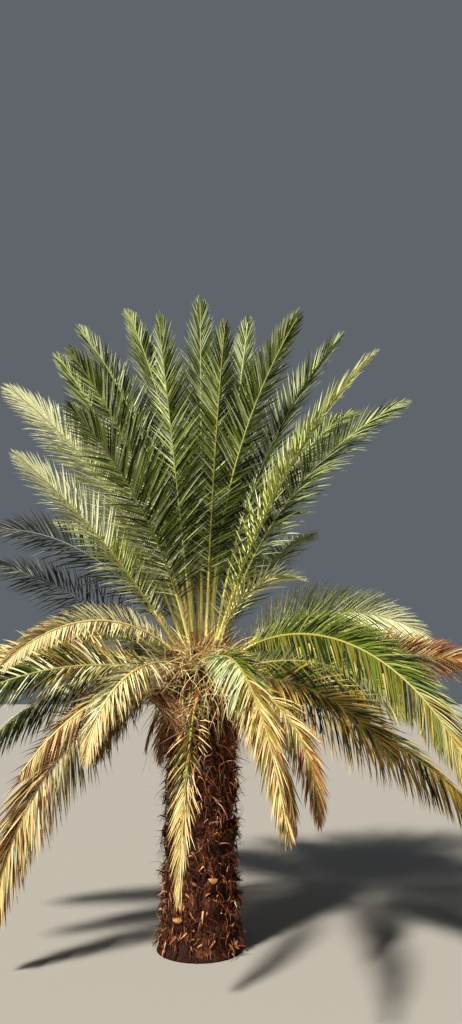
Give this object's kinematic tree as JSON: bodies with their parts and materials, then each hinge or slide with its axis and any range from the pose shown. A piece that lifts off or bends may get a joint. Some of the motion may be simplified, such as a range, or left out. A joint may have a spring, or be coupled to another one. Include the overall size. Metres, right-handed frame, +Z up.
{
  "type": "date palm tree",
  "caption": "Young date palm: a stout trunk rough with old leaf bases, under a full crown of stiff upright, arching and hanging feather fronds.",
  "frame": {"origin": "middle of the flat cut under the trunk, at ground level", "axes": "+Z up along the trunk, +X to the right in the picture, -Y towards its camera"},
  "size_m": [5.9512, 5.4962, 6.7293],
  "materials": {
    "trunk": "rough reddish brown fibre and leaf bases",
    "upright_frond": "satin green leaf",
    "spreading_frond": "satin yellow-green leaf",
    "arching_frond": "satin yellow-green leaf",
    "hanging_frond": "dull straw leaf",
    "dead_frond": "dull brown dry leaf"
  },
  "bodies": {
    "root": {"trunk": "trunk", "arching_frond_1": "arching_frond", "arching_frond_2": "arching_frond", "arching_frond_2_outer": "arching_frond", "arching_frond_3": "arching_frond", "arching_frond_4": "arching_frond", "arching_frond_5": "arching_frond", "arching_frond_6": "arching_frond", "arching_frond_7": "arching_frond", "arching_frond_8": "arching_frond", "arching_frond_9": "arching_frond", "arching_frond_10": "arching_frond", "arching_frond_11": "arching_frond", "arching_frond_12": "arching_frond", "arching_frond_13": "arching_frond", "dead_frond_1": "dead_frond", "dead_frond_2": "dead_frond", "dead_frond_3": "dead_frond", "hanging_frond_1": "hanging_frond", "hanging_frond_2": "hanging_frond", "hanging_frond_2_outer": "hanging_frond", "hanging_frond_3": "hanging_frond", "hanging_frond_4": "hanging_frond", "hanging_frond_4_outer": "hanging_frond", "hanging_frond_5": "hanging_frond", "hanging_frond_6": "hanging_frond", "hanging_frond_7": "hanging_frond", "hanging_frond_8": "hanging_frond", "hanging_frond_9": "hanging_frond", "hanging_frond_10": "hanging_frond", "hanging_frond_11": "hanging_frond", "hanging_frond_12": "hanging_frond", "hanging_frond_13": "hanging_frond", "spreading_frond_1": "spreading_frond", "spreading_frond_2": "spreading_frond", "spreading_frond_3": "spreading_frond", "spreading_frond_4": "spreading_frond", "spreading_frond_5": "spreading_frond", "spreading_frond_6": "spreading_frond", "spreading_frond_7": "spreading_frond", "spreading_frond_8": "spreading_frond", "spreading_frond_9": "spreading_frond", "spreading_frond_10": "spreading_frond", "spreading_frond_11": "spreading_frond", "spreading_frond_12": "spreading_frond", "spreading_frond_13": "spreading_frond", "spreading_frond_14": "spreading_frond", "upright_frond_1": "upright_frond", "upright_frond_2": "upright_frond", "upright_frond_3": "upright_frond", "upright_frond_4": "upright_frond", "upright_frond_5": "upright_frond", "upright_frond_6": "upright_frond", "upright_frond_7": "upright_frond", "upright_frond_8": "upright_frond", "upright_frond_9": "upright_frond", "upright_frond_10": "upright_frond", "upright_frond_11": "upright_frond", "upright_frond_12": "upright_frond", "upright_frond_13": "upright_frond"}
  },
  "joints": []
}
